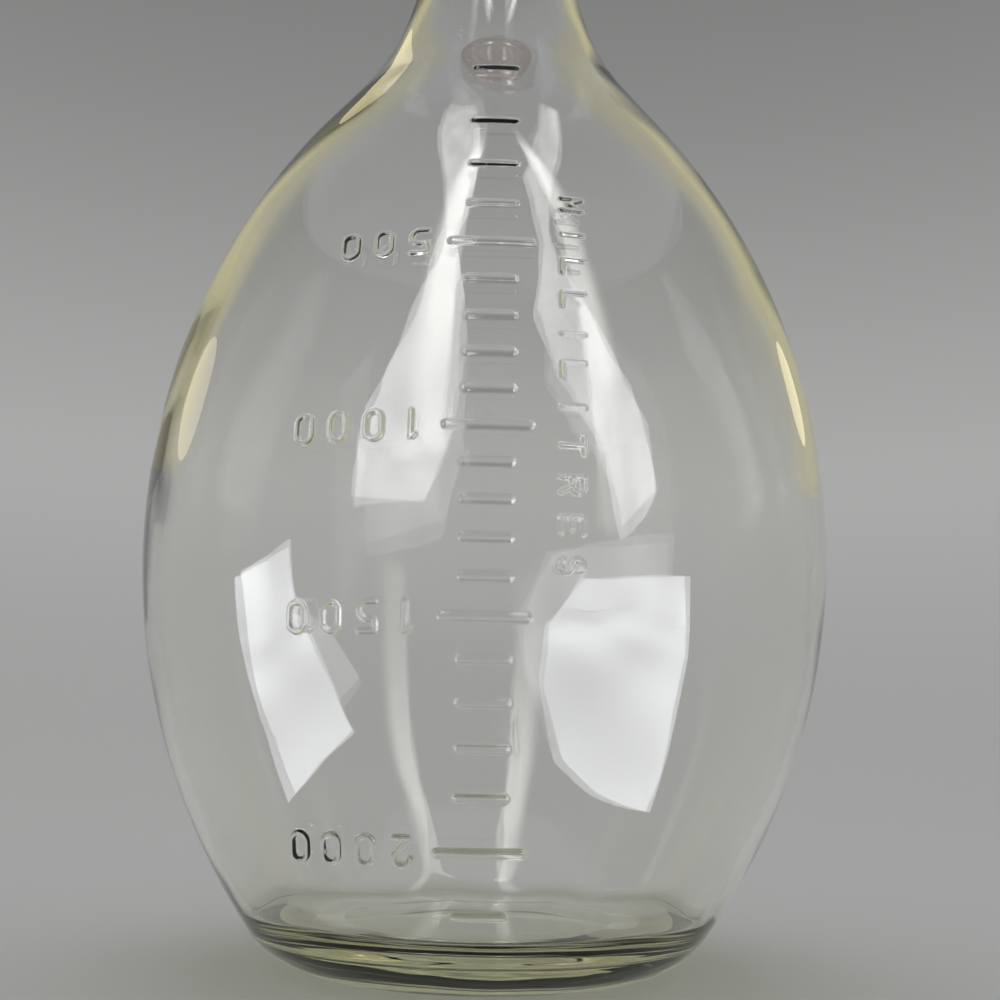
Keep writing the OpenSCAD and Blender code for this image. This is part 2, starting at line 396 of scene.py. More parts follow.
def figure_strokes(marks):
    """The middle lines of the numbers, which stand on their heads to the left of the scale."""
    w = (FIGURE_W - STROKE_W) / 2
    h = (FIGURE_H - STROKE_W) / 2
    strokes = []
    for ml, z in marks.items():
        if ml % (MARK_STEP_ML * MARKS_PER_NUMBER):
            continue
        r = float(OUTSIDE_R(z))
        for i, sign in enumerate(str(ml)):
            middle = r * math.sin((FIGURE_START + FIGURE_PITCH * i) / r)
            for stroke in sign_strokes(sign, w, h):
                strokes.append([(-(middle + x), z - y) for x, y in stroke])
    return strokes


def word_strokes():
    """The middle lines of the unit's name, which reads downwards beside the scale."""
    w = (LETTER_W - STROKE_W) / 2
    h = (LETTER_H - STROKE_W) / 2
    strokes = []
    for i, letter in enumerate(UNIT_WORD):
        z = WORD_TOP_Z - WORD_PITCH * i
        for stroke in sign_strokes(letter, w, h):
            strokes.append([(WORD_X + y, z - x) for x, y in stroke])
    return strokes


def resampled(stroke, step):
    """A stroke's points at even steps, with its corners kept."""
    points = [stroke[0]]
    for p, q in zip(stroke, stroke[1:]):
        points += line(p, q, step)
    return points


def mesh_object(name, verts, faces, edges=()):
    """A mesh object at the origin."""
    mesh = bpy.data.meshes.new(name)
    mesh.from_pydata([tuple(v) for v in verts], list(edges), faces)
    mesh.update()
    obj = bpy.data.objects.new(name, mesh)
    bpy.context.scene.collection.objects.link(obj)
    return obj


def front_point(x, z):
    """The place on the glass behind a point of the scale's plane."""
    r = float(OUTSIDE_R(z))
    return (x, -math.sqrt(r * r - x * x), z)


def stroke_lines(name, strokes):
    """The strokes as edges that lie on the glass."""
    verts, edges = [], []
    for stroke in strokes:
        points = resampled(stroke, 0.4 * MM)
        first = len(verts)
        verts += [front_point(x, z) for x, z in points]
        edges += [(first + i, first + i + 1) for i in range(len(points) - 1)]
    return mesh_object(name, verts, [], edges)


def stroke_grid(strokes, step, offsets):
    """Points beside and around each stroke, closer together where the glass rises."""
    points = []
    for stroke in strokes:
        line_points = [Vector(p) for p in resampled(stroke, step)]
        for i, p in enumerate(line_points):
            before = line_points[max(0, i - 1)]
            after = line_points[min(len(line_points) - 1, i + 1)]
            along = (after - before).normalized()
            across = Vector((-along.y, along.x))
            points += [p + across * o for o in offsets] + [p - across * o for o in offsets if o]
        for end, inner in ((0, 1), (-1, -2)):
            out = (line_points[end] - line_points[inner]).normalized()
            for angle in np.radians(np.arange(-75, 76, 30)):
                turned = Vector((
                    out.x * math.cos(angle) - out.y * math.sin(angle),
                    out.x * math.sin(angle) + out.y * math.cos(angle),
                ))
                points += [line_points[end] + turned * o for o in offsets if o]
    return points


def cell_of(p, size):
    """The square cell that a point lies in."""
    return (round(p[0] / size), round(p[1] / size))


def neighbours(cells, cell):
    """The points kept in a cell and in the eight cells round it."""
    steps = (-1, 0, 1)
    return [q for i in steps for j in steps for q in cells.get((cell[0] + i, cell[1] + j), ())]


class BottleMesh:
    """The bottle's closed glass skin: rings of points, with a fine patch under the scale."""

    patch_left = math.radians(-42)
    patch_right = math.radians(26)
    patch_low = 12 * MM
    patch_high = 190 * MM
    least_gap = 0.13 * MM
    plain_gap = 0.35 * ROW_STEP
    stroke_offsets = (0, 0.35, 0.65, 0.95, 1.25, 1.6, 2.1)

    def __init__(self, marks):
        outer = outer_outline()
        self.inner_start = len(outer)
        self.outline = joined(outer, inner_outline())
        self.verts = []
        self.faces = []
        self.ring_of = [self.ring(r, z) for r, z in self.outline]
        self.set_patch_limits()
        for row in range(len(self.outline) - 1):
            self.strip(row)
        self.fill_patch(marks)

    def angle(self, column):
        """Angle from the front, to the right as seen by someone who reads the scale."""
        return 2 * math.pi * column / COLUMNS - math.pi

    def ring(self, r, z):
        """The numbers of a ring's points, which are all one point on the axis."""
        first = len(self.verts)
        if r < ON_AXIS:
            self.verts.append((0, 0, z))
            return [first] * COLUMNS
        for column in range(COLUMNS):
            a = self.angle(column)
            self.verts.append((r * math.sin(a), -r * math.cos(a), z))
        return list(range(first, first + COLUMNS))

    def set_patch_limits(self):
        """The first and last rows and columns of the patch."""
        side_r = NECK_R + 5 * MM
        rows = [
            i for i, (r, z) in enumerate(self.outline[: self.inner_start])
            if self.patch_low < z < self.patch_high and r > side_r
        ]
        columns = [c for c in range(COLUMNS) if self.patch_left < self.angle(c) < self.patch_right]
        self.low_row, self.high_row = rows[0], rows[-1]
        self.left_column, self.right_column = columns[0], columns[-1]

    def strip(self, row):
        """The faces between a ring and the next one, without those that the patch takes."""
        a, b = self.ring_of[row], self.ring_of[row + 1]
        in_rows = self.low_row <= row < self.high_row
        for c in range(COLUMNS):
            if in_rows and self.left_column <= c < self.right_column:
                continue
            d = (c + 1) % COLUMNS
            self.faces.append(list(dict.fromkeys([a[c], a[d], b[d], b[c]])))

    def fill_patch(self, marks):
        """Joins the patch's rim, its plain points and the points round the strokes by triangles."""
        rows = range(self.low_row, self.high_row + 1)
        columns = range(self.left_column, self.right_column + 1)
        heights = [self.outline[r][1] for r in rows]
        lengths = [math.dist(self.outline[r], self.outline[r + 1]) for r in rows[:-1]]
        arcs = np.concatenate([[0], np.cumsum(lengths)])

        def flat(x, z):
            """A point of the scale's plane, laid flat: its angle as a length and its way up."""
            across = math.asin(x / float(OUTSIDE_R(z))) * BELLY_R
            return (across, float(np.interp(z, heights, arcs)))

        def unroll(p):
            """Back from the flat patch to the glass."""
            z = float(np.interp(p[1], arcs, heights))
            r = float(OUTSIDE_R(z))
            a = p[0] / BELLY_R
            return (r * math.sin(a), -r * math.cos(a), z)

        rim, inner_points = {}, []
        for i, row in enumerate(rows):
            for column in columns:
                p = (self.angle(column) * BELLY_R, float(arcs[i]))
                if row in (rows[0], rows[-1]) or column in (columns[0], columns[-1]):
                    rim[p] = self.ring_of[row][column]
                else:
                    inner_points.append(p)

        fine, taken, gap = [], {}, self.least_gap
        for strokes, step, half in (
            (mark_strokes(marks), 0.45 * MM, MARK_W / 2),
            (figure_strokes(marks) + word_strokes(), 0.3 * MM, STROKE_W / 2),
        ):
            offsets = [half * k for k in self.stroke_offsets]
            for q in stroke_grid(strokes, step, offsets):
                p = flat(q.x, q.y)
                cell = cell_of(p, gap)
                if all(math.dist(p, other) >= gap for other in neighbours(taken, cell)):
                    taken.setdefault(cell, []).append(p)
                    fine.append(p)

        near = {}
        for p in fine:
            near.setdefault(cell_of(p, ROW_STEP), []).append(p)
        plain = []
        for p in inner_points:
            close = neighbours(near, cell_of(p, ROW_STEP))
            if all(math.dist(p, q) > self.plain_gap for q in close):
                plain.append(p)

        numbers = list(rim.values())
        for p in plain + fine:
            numbers.append(len(self.verts))
            self.verts.append(unroll(p))
        scale = 1 / MM
        coords = [Vector((x * scale, y * scale)) for x, y in list(rim) + plain + fine]
        triangles, sources = delaunay_2d_cdt(coords, [], [], 0, 1e-6)[2:4]
        for triangle in triangles:
            self.faces.append([numbers[sources[i][0]] for i in triangle])


def add_node(tree, kind, inputs=None, **settings):
    """A node with its settings, and its inputs set to values or linked to sockets."""
    node = tree.nodes.new(kind)
    for key, value in settings.items():
        setattr(node, key, value)
    for key, value in (inputs or {}).items():
        socket = node.inputs[key]
        if isinstance(value, bpy.types.NodeSocket):
            tree.links.new(value, socket)
        else:
            socket.default_value = value
    return node


def worked_out(tree, operation, first, second=0.0):
    """What a Math node makes of one or two numbers."""
    return add_node(tree, "ShaderNodeMath", {0: first, 1: second}, operation=operation).outputs[0]


def remapped(tree, value, before, after=(0.0, 1.0), curve="SMOOTHSTEP"):
    """A value moved from one range to another, and held at that range's ends."""
    ends = zip(("From Min", "From Max", "To Min", "To Max"), (*before, *after))
    inputs = {"Value": value, **dict(ends)}
    node = add_node(tree, "ShaderNodeMapRange", inputs, interpolation_type=curve)
    return node.outputs["Result"]


def mixed_colour(tree, factor, first, second):
    """A colour that turns from the first to the second as the factor grows."""
    inputs = {"Factor": factor, 6: first, 7: second}
    return add_node(tree, "ShaderNodeMix", inputs, data_type="RGBA").outputs[2]


def tree_named(name, inputs):
    """A Geometry Nodes tree with a geometry going in and out, and the sockets of its inputs."""
    tree = bpy.data.node_groups.new(name, "GeometryNodeTree")
    tree.interface.new_socket("Geometry", in_out="INPUT", socket_type="NodeSocketGeometry")
    for label, kind in inputs.items():
        tree.interface.new_socket(label, in_out="INPUT", socket_type="NodeSocket" + kind)
    tree.interface.new_socket("Geometry", in_out="OUTPUT", socket_type="NodeSocketGeometry")
    return tree, add_node(tree, "NodeGroupInput").outputs


def finish_tree(tree, geometry, material, smooth=True):
    """Ends a tree: smooth shading if asked for, real instances and the material."""
    if smooth:
        geometry = add_node(tree, "GeometryNodeSetShadeSmooth", {"Geometry": geometry}).outputs[0]
    whole = add_node(tree, "GeometryNodeRealizeInstances", {"Geometry": geometry}).outputs[0]
    done = add_node(tree, "GeometryNodeSetMaterial", {"Geometry": whole, "Material": material})
    add_node(tree, "NodeGroupOutput", {"Geometry": done.outputs[0]})
    return tree


def run_tree(obj, tree, values):
    """Sets a tree's named inputs on an object, and keeps what the tree makes as a plain mesh."""
    modifier = obj.modifiers.new(tree.name, "NODES")
    modifier.node_group = tree
    for item in tree.interface.items_tree:
        if item.in_out == "INPUT" and item.name in values:
            modifier[item.identifier] = values[item.name]
    bpy.context.view_layer.update()
    graph = bpy.context.evaluated_depsgraph_get()
    made = bpy.data.meshes.new_from_object(obj.evaluated_get(graph))
    made.name = obj.name
    obj.modifiers.clear()
    obj.data = made
    return obj


def raised_glass_tree():
    """Lifts the glass along its marks and figures, and makes the rest of it slightly uneven."""
    measures = (
        "Mark relief", "Figure relief", "Mark half width", "Figure half width",
        "Inside unevenness", "Outside unevenness", "Unevenness size", "Floor height",
        "Calm height", "Floor share", "Neck height", "Mouth height", "Seed",
    )
    tree, start = tree_named("raised_glass", {
        "Mark lines": "Object",
        "Figure lines": "Object",
        **dict.fromkeys(measures, "Float"),
        "Glass": "Material",
    })
    lifts = []
    for kind in ("Mark", "Figure"):
        lines = add_node(tree, "GeometryNodeObjectInfo", {"Object": start[kind + " lines"]})
        away = add_node(
            tree,
            "GeometryNodeProximity",
            {"Geometry": lines.outputs["Geometry"]},
            target_element="EDGES",
        ).outputs["Distance"]
        half = start[kind + " half width"]
        slope = (
            worked_out(tree, "MULTIPLY", half, SLOPE_START),
            worked_out(tree, "MULTIPLY", half, SLOPE_END),
        )
        heights = (start[kind + " relief"], 0.0)
        lifts.append(remapped(tree, away, slope, heights, "SMOOTHERSTEP"))
    lift = worked_out(tree, "MAXIMUM", *lifts)

    inside = add_node(
        tree, "GeometryNodeInputNamedAttribute", {"Name": "inside"}, data_type="FLOAT"
    ).outputs["Attribute"]
    depths = (start["Outside unevenness"], start["Inside unevenness"])
    depth = remapped(tree, inside, (0.0, 1.0), depths, "LINEAR")
    place = add_node(tree, "GeometryNodeInputPosition").outputs["Position"]
    height = add_node(tree, "ShaderNodeSeparateXYZ", {0: place}).outputs["Z"]
    above_floor = (start["Floor height"], start["Calm height"])
    floor = remapped(tree, height, above_floor, (start["Floor share"], 1.0))
    below_mouth = (start["Neck height"], start["Mouth height"])
    calm = remapped(tree, height, below_mouth, (1.0, 0.0))
    depth = worked_out(tree, "MULTIPLY", worked_out(tree, "MULTIPLY", depth, floor), calm)

    # The inside sways both ways. The outside only sinks, and so stays within the plain model
    highest = remapped(tree, inside, (0.0, 1.0), (1.0, 0.5), "LINEAR")
    noise = add_node(
        tree,
        "ShaderNodeTexNoise",
        {
            "Vector": place,
            "W": start["Seed"],
            "Scale": worked_out(tree, "DIVIDE", 1.0, start["Unevenness size"]),
            "Detail": 1.0,
            "Roughness": 0.4,
        },
        noise_dimensions="4D",
    ).outputs["Fac"]
    wave = worked_out(tree, "SUBTRACT", noise, highest)
    total = worked_out(tree, "ADD", lift, worked_out(tree, "MULTIPLY", wave, depth))
    normal = add_node(tree, "GeometryNodeInputNormal").outputs["Normal"]
    push = add_node(tree, "ShaderNodeVectorMath", {0: normal, "Scale": total}, operation="SCALE")
    moved = add_node(
        tree,
        "GeometryNodeSetPosition",
        {"Geometry": start["Geometry"], "Offset": push.outputs["Vector"]},
    )
    return finish_tree(tree, moved.outputs[0], start["Glass"])


def turned_tree():
    """Turns an outline round the bottle's axis, moved aside to the piece's own axis."""
    tree, start = tree_named("turned", {
        "Outline": "Object",
        "Outline points": "Int",
        "Steps": "Int",
        "Axis X": "Float",
        "Finish": "Material",
    })
    points = start["Outline points"]
    across = worked_out(tree, "ADD", start["Steps"], 1.0)
    grid = add_node(tree, "GeometryNodeMeshGrid", {"Vertices X": across, "Vertices Y": points})
    index = add_node(tree, "GeometryNodeInputIndex").outputs[0]
    column = worked_out(tree, "FLOOR", worked_out(tree, "DIVIDE", index, points))
    row = worked_out(tree, "MODULO", index, points)
    turn = worked_out(tree, "DIVIDE", column, start["Steps"])
    angle = worked_out(tree, "MULTIPLY", turn, 2 * math.pi)
    outline = add_node(tree, "GeometryNodeObjectInfo", {"Object": start["Outline"]})
    place = add_node(tree, "GeometryNodeInputPosition").outputs["Position"]
    point = add_node(
        tree,
        "GeometryNodeSampleIndex",
        {"Geometry": outline.outputs["Geometry"], "Value": place, "Index": row},
        data_type="FLOAT_VECTOR",
        domain="POINT",
    ).outputs["Value"]
    spin = add_node(
        tree, "ShaderNodeVectorRotate", {"Vector": point, "Angle": angle}, rotation_type="Z_AXIS"
    ).outputs[0]
    aside = add_node(tree, "ShaderNodeCombineXYZ", {"X": start["Axis X"]}).outputs[0]
    there = add_node(tree, "ShaderNodeVectorMath", {0: spin, 1: aside}, operation="ADD").outputs[0]
    turned = add_node(
        tree, "GeometryNodeSetPosition", {"Geometry": grid.outputs["Mesh"], "Position": there}
    ).outputs[0]
    closed = add_node(
        tree, "GeometryNodeMergeByDistance", {"Geometry": turned, "Distance": 0.001 * MM}
    ).outputs[0]
    return finish_tree(tree, closed, start["Finish"])


def bored_tree():
    """Cuts one closed shape out of another."""
    tree, start = tree_named("bored", {"Cutter": "Object", "Finish": "Material"})
    cutter = add_node(tree, "GeometryNodeObjectInfo", {"Object": start["Cutter"]})
    cut = add_node(
        tree,
        "GeometryNodeMeshBoolean",
        {"Mesh 1": start["Geometry"], "Mesh 2": cutter.outputs["Geometry"]},
        operation="DIFFERENCE",
        solver="EXACT",
    ).outputs["Mesh"]
    clean = add_node(
        tree, "GeometryNodeMergeByDistance", {"Geometry": cut, "Distance": 0.02 * MM}
    ).outputs[0]
    return finish_tree(tree, clean, start["Finish"], smooth=False)


def empty_material(name):
    """A node material with no nodes in it yet."""
    material = bpy.data.materials.new(name)
    material.use_nodes = True
    material.node_tree.nodes.clear()
    return material, material.node_tree


def surface_marks_group():
    """Handling marks shared by the glass and the rubber: haze, specks and a soft unevenness."""
    group = bpy.data.node_groups.new("surface_marks", "ShaderNodeTree")
    for label in ("Haze size", "Speck size", "Speck height", "Smooth", "Hazy"):
        group.interface.new_socket(label, in_out="INPUT", socket_type="NodeSocketFloat")
    for label in ("Roughness", "Height", "Speck"):
        group.interface.new_socket(label, in_out="OUTPUT", socket_type="NodeSocketFloat")
    start = add_node(group, "NodeGroupInput").outputs
    place = add_node(group, "ShaderNodeTexCoord").outputs["Object"]

    def noise(size, detail):
        scale = worked_out(group, "DIVIDE", 1.0, start[size])
        inputs = {"Vector": place, "Scale": scale, "Detail": detail}
        return add_node(group, "ShaderNodeTexNoise", inputs).outputs["Fac"]

    haze = noise("Haze size", 2.5)
    patch = remapped(group, haze, (0.5, 0.75), (start["Smooth"], start["Hazy"]))
    speck = remapped(group, noise("Speck size", 3.0), (0.62, 0.72), curve="LINEAR")
    raised = worked_out(group, "MULTIPLY", speck, start["Speck height"])
    height = worked_out(group, "ADD", haze, raised)
    add_node(group, "NodeGroupOutput", {"Roughness": patch, "Height": height, "Speck": speck})
    return group


def worn_shader(tree, marks, values, strength, distance):
    """A shader with its roughness and fine relief from the handling marks, and those marks."""
    wear = add_node(tree, "ShaderNodeGroup", values, node_tree=marks).outputs
    inputs = {"Height": wear["Height"], "Strength": strength, "Distance": distance}
    relief = add_node(tree, "ShaderNodeBump", inputs).outputs["Normal"]
    inputs = {"Roughness": wear["Roughness"], "Normal": relief}
    return add_node(tree, "ShaderNodeBsdfPrincipled", inputs), wear


def glass_material(name, tint, density, marks, hazy):
    """Clear glass that is tinted by its depth and lets the lamps' light through."""
    material, tree = empty_material(name)
    values = {
        "Haze size": 26 * MM,
        "Speck size": 1.2 * MM,
        "Speck height": 0.0,
        "Smooth": 0.0,
        "Hazy": hazy,
    }
    shader, _ = worn_shader(tree, marks, values, 1.0, 0.06 * MM)
    shader.inputs["Base Color"].default_value = (1, 1, 1, 1)
    shader.inputs["IOR"].default_value = 1.52
    shader.inputs["Transmission Weight"].default_value = 1
    depth = add_node(tree, "ShaderNodeVolumeAbsorption", {"Color": tint, "Density": density})
    shadow = add_node(tree, "ShaderNodeLightPath").outputs["Is Shadow Ray"]
    clear = add_node(tree, "ShaderNodeBsdfTransparent", {"Color": (0.94, 0.95, 0.93, 1)})
    mix = add_node(
        tree, "ShaderNodeMixShader", {0: shadow, 1: shader.outputs["BSDF"], 2: clear.outputs[0]}
    )
    add_node(
        tree,
        "ShaderNodeOutputMaterial",
        {"Surface": mix.outputs[0], "Volume": depth.outputs[0]},
    )
    return material


def rubber_material(name, marks):
    """Red-brown moulded rubber with a pale bloom."""
    smooth, hazy = 0.55, 0.8
    material, tree = empty_material(name)
    values = {
        "Haze size": 9 * MM,
        "Speck size": 0.5 * MM,
        "Speck height": 0.6,
        "Smooth": smooth,
        "Hazy": hazy,
    }
    shader, wear = worn_shader(tree, marks, values, 0.25, 0.15 * MM)
    bloom = remapped(tree, wear["Roughness"], (smooth, hazy), (0.0, 0.35), "LINEAR")
    colour = mixed_colour(tree, bloom, (0.33, 0.085, 0.045, 1), (0.5, 0.27, 0.2, 1))
    specked = mixed_colour(tree, wear["Speck"], colour, (0.26, 0.07, 0.04, 1))
    tree.links.new(specked, shader.inputs["Base Color"])
    add_node(tree, "ShaderNodeOutputMaterial", {"Surface": shader.outputs["BSDF"]})
    return material


def make_bottle(glass):
    """The bottle: one piece of moulded glass with its raised scale."""
    marks = marks_by_volume()
    skin = BottleMesh(marks)
    bottle = mesh_object("bottle_glass", skin.verts, skin.faces)
    inside = bottle.data.attributes.new("inside", "FLOAT", "POINT")
    first_inner = skin.ring_of[skin.inner_start][0]
    last_inner = skin.ring_of[-1][0]
    values = [1.0 if first_inner <= i <= last_inner else 0.0 for i in range(len(skin.verts))]
    inside.data.foreach_set("value", values)
    mark_lines = stroke_lines("mark_lines", mark_strokes(marks))
    figure_lines = stroke_lines("figure_lines", figure_strokes(marks) + word_strokes())
    run_tree(bottle, raised_glass_tree(), {
        "Mark lines": mark_lines,
        "Figure lines": figure_lines,
        "Mark relief": MARK_RELIEF,
        "Figure relief": FIGURE_RELIEF,
        "Mark half width": MARK_W / 2,
        "Figure half width": STROKE_W / 2,
        "Inside unevenness": 0.7 * MM,
        "Outside unevenness": 0.12 * MM,
        "Unevenness size": 30 * MM,
        "Floor height": 14 * MM,
        "Calm height": 34 * MM,
        "Floor share": 1.9,
        "Neck height": Side.neck_z - NECK_LEN,
        "Mouth height": STOPPER_Z,
        "Seed": 3.0,
        "Glass": glass,
    })
    for lines in (mark_lines, figure_lines):
        bpy.data.objects.remove(lines)
    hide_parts("bottle")
    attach(bottle, "bottle")
    return bottle


def face_outwards(obj):
    """Turns the faces of a closed skin outwards if its volume comes out negative."""
    mesh = obj.data
    mesh.calc_loop_triangles()
    volume = 0.0
    for tri in mesh.loop_triangles:
        a, b, c = (mesh.vertices[i].co for i in tri.vertices)
        volume += a.dot(b.cross(c)) / 6
    if volume < 0:
        mesh.flip_normals()
    return obj


def turned_piece(name, outline, axis_x, finish, tree, steps):
    """A round piece turned from its outline."""
    lines = mesh_object(name + "_outline", [(r, 0, z) for r, z in outline], [])
    piece = mesh_object(name, [(0, 0, 0)], [])
    run_tree(piece, tree, {
        "Outline": lines,
        "Outline points": len(outline),
        "Steps": steps,
        "Axis X": axis_x,
        "Finish": finish,
    })
    bpy.data.objects.remove(lines)
    return face_outwards(piece)


def tube_outline(outer_r, bore_r, inside, free):
    """A tube's closed outline, with melted round ends and the bead that rests on the stopper."""
    end_r = (outer_r - bore_r) / 2
    mid_r = (outer_r + bore_r) / 2
    low = STOPPER_Z - inside
    bead_z = STOPPER_Z + STOPPER_LEN + BEAD_GAP + BEAD_R
    top = bead_z + BEAD_R + free
    fine = 0.2 * MM
    return joined(
        arc((mid_r, low + end_r), end_r, -math.pi, 0, fine),
        line((outer_r, low + end_r), (outer_r, bead_z - BEAD_R), ROW_STEP),
        arc((outer_r, bead_z), BEAD_R, -QUARTER_TURN, QUARTER_TURN, fine),
        line((outer_r, bead_z + BEAD_R), (outer_r, top - end_r), ROW_STEP),
        arc((mid_r, top - end_r), end_r, 0, math.pi, fine),
        line((bore_r, top - end_r), (bore_r, low + end_r), ROW_STEP),
    )


def make_tube(name, node, outline, axis_x, finish, tree):
    """A glass tube turned from its outline, in place of a node of the model."""
    piece = turned_piece(name, outline, axis_x, finish, tree, TUBE_STEPS)
    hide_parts(node)
    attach(piece, node)
    return piece


def stopper_outline():
    """The stopper's outline from the middle of its lower face to the middle of its upper face."""
    low = STOPPER_Z
    top = low + STOPPER_LEN
    small = STOPPER_SMALL_R
    large = STOPPER_LARGE_R
    face_step = 1.5 * MM
    moulding_z = top - 2.4 * MM
    moulding_r = large - STOPPER_SLOPE * (top - moulding_z)
    edge_r, edge_step = 0.9 * MM, 0.15 * MM
    moulding = (moulding_r, moulding_z)
    foot = rounded_corner((0, low), (small, low), moulding, edge_r, edge_step)
    rim = rounded_corner(moulding, (large, top), (0, top), edge_r, edge_step)
    bead = 0.25 * MM
    bead_foot = (moulding_r - STOPPER_SLOPE * bead, moulding_z - bead)
    return joined(
        [(0, low)],
        line((0, low), foot[0], face_step),
        foot,
        line(foot[-1], bead_foot, face_step),
        arc(moulding, bead, -QUARTER_TURN, QUARTER_TURN, 0.1 * MM),
        rim,
        line(rim[-1], (0, top), face_step),
    )


def hole_outline(radius):
    """The outline of what is cut out for a tube, flared where the hole's edges are rounded."""
    low, top = STOPPER_Z, STOPPER_Z + STOPPER_LEN
    edge, step = 0.6 * MM, 0.12 * MM
    wide = radius + edge
    return joined(
        [(0, low - edge), (wide, low - edge), (wide, low)],
        arc((wide, low + edge), edge, -QUARTER_TURN, -math.pi, step),
        arc((wide, top - edge), edge, math.pi, QUARTER_TURN, step),
        [(wide, top + edge), (0, top + edge)],
    )


def make_stopper(finish, tree):
    """The rubber stopper with its two holes."""
    stopper = turned_piece("stopper_rubber", stopper_outline(), 0, finish, tree, STOPPER_STEPS)
    bored = bored_tree()
    for axis_x, radius in ((-TUBE_OFFSET, OUTLET_R), (TUBE_OFFSET, AIR_R)):
        outline = hole_outline(radius + HOLE_GAP)
        cutter = turned_piece("hole", outline, axis_x, finish, tree, HOLE_STEPS)
        run_tree(stopper, bored, {"Cutter": cutter, "Finish": finish})
        bpy.data.objects.remove(cutter)
    stopper.data.set_sharp_from_angle(angle=math.radians(30))
    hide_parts("stopper")
    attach(stopper, "stopper")
    return stopper


def from_bottle(azimuth, elevation, distance):
    """A place as seen from the bottle's middle: azimuth 0 is in front, positive to the right."""
    a, e = math.radians(azimuth), math.radians(elevation)
    way = Vector((math.sin(a) * math.cos(e), -math.cos(a) * math.cos(e), math.sin(e)))
    return Vector(BOTTLE_MIDDLE) + distance * way


def soft_lamp(name, place, target, size, power):
    """A round soft lamp that faces a point."""
    data = bpy.data.lights.new(name, "AREA")
    data.shape = "DISK"
    data.size = size
    data.energy = power
    lamp = bpy.data.objects.new(name, data)
    bpy.context.scene.collection.objects.link(lamp)
    lamp.location = place
    lamp.rotation_euler = (Vector(target) - lamp.location).to_track_quat("-Z", "Y").to_euler()
    lamp.visible_camera = False
    return lamp


def mirrored_only(tree, strength, plain):
    """The strength for rays that the glass mirrors, and a plain one for rays through it."""
    mirrored = add_node(tree, "ShaderNodeLightPath").outputs["Glossy Depth"]
    return remapped(tree, mirrored, (0.0, 1.0), (plain, strength), "LINEAR")


def glowing_material(name, strength, sharp_side, soft_side, low_share, colour=(1, 0.99, 0.97)):
    """A light panel's face, which turns clear towards its sides, its top and its foot."""
    material, tree = empty_material(name)
    place = add_node(tree, "ShaderNodeTexCoord").outputs["UV"]
    parts = add_node(tree, "ShaderNodeSeparateXYZ", {0: place}).outputs
    level = 1.0
    for source, start, end, low in (
        (parts["X"], 0.0, sharp_side, 0.0),
        (parts["X"], 1.0, 1.0 - soft_side, 0.0),
        (parts["Y"], 0.0, 0.05, 0.0),
        (parts["Y"], 1.0, 0.9, 0.0),
        (parts["Y"], 0.05, 0.55, low_share),
    ):
        fade = remapped(tree, source, (start, end), (low, 1.0))
        level = worked_out(tree, "MULTIPLY", level, fade)
    seen = mirrored_only(tree, strength, min(strength, SEEN_THROUGH_LEVEL))
    glow = add_node(tree, "ShaderNodeEmission", {"Color": (*colour, 1), "Strength": seen})
    clear = add_node(tree, "ShaderNodeBsdfTransparent")
    mix = add_node(
        tree, "ShaderNodeMixShader", {0: level, 1: clear.outputs[0], 2: glow.outputs[0]}
    )
    add_node(tree, "ShaderNodeOutputMaterial", {"Surface": mix.outputs[0]})
    return material


def tall_panel(name, sharp_azimuth, soft_azimuth, low, high, material, distance=1.15):
    """A tall light panel that bends over the bottle, out of the camera's sight."""
    columns, rows = 9, 25
    verts = []
    for e in np.linspace(low, high, rows):
        for a in np.linspace(sharp_azimuth, soft_azimuth, columns):
            verts.append(from_bottle(a, e, distance))
    faces = []
    for r in range(rows - 1):
        for c in range(columns - 1):
            i = r * columns + c
            faces.append((i, i + 1, i + columns + 1, i + columns))
    panel = mesh_object(name, verts, faces)
    shares = panel.data.uv_layers.new(name="across_and_up")
    for loop in panel.data.loops:
        r, c = divmod(loop.vertex_index, columns)
        shares.data[loop.index].uv = (c / (columns - 1), r / (rows - 1))
    panel.data.materials.append(material)
    panel.visible_camera = False
    return panel


def window_material(name, dim, bright):
    """The cards' face, which is a little uneven like a window with thin curtains."""
    material, tree = empty_material(name)
    place = add_node(tree, "ShaderNodeTexCoord").outputs["Object"]
    folds = add_node(tree, "ShaderNodeTexNoise", {"Vector": place, "Scale": 9.0, "Detail": 0.0})
    level = remapped(tree, folds.outputs["Fac"], (0.3, 0.7), (dim, bright), "LINEAR")
    seen = mirrored_only(tree, level, SEEN_THROUGH_LEVEL)
    glow = add_node(tree, "ShaderNodeEmission", {"Color": (0.95, 0.97, 1, 1), "Strength": seen})
    add_node(tree, "ShaderNodeOutputMaterial", {"Surface": glow.outputs[0]})
    return material


def window_card(name, floor_corners, wall, material):
    """A bright card on the floor that turns up at its far edge.

    The wall is given by azimuths in degrees with a low and a high height in mm.
    """
    verts = [(x * MM, y * MM, 1 * MM) for x, y in floor_corners]
    faces = [tuple(range(len(verts)))]
    for azimuth, low, high in wall:
        a = math.radians(azimuth)
        first = len(verts)
        x, y = WINDOW_DISTANCE * math.sin(a), -WINDOW_DISTANCE * math.cos(a)
        verts += [(x, y, low * MM), (x, y, high * MM)]
        if azimuth != wall[0][0]:
            faces.append((first - 2, first, first + 1, first - 1))
    card = mesh_object(name, verts, faces)
    card.data.materials.append(material)
    card.visible_camera = False
    card.visible_diffuse = False
    card.visible_shadow = False


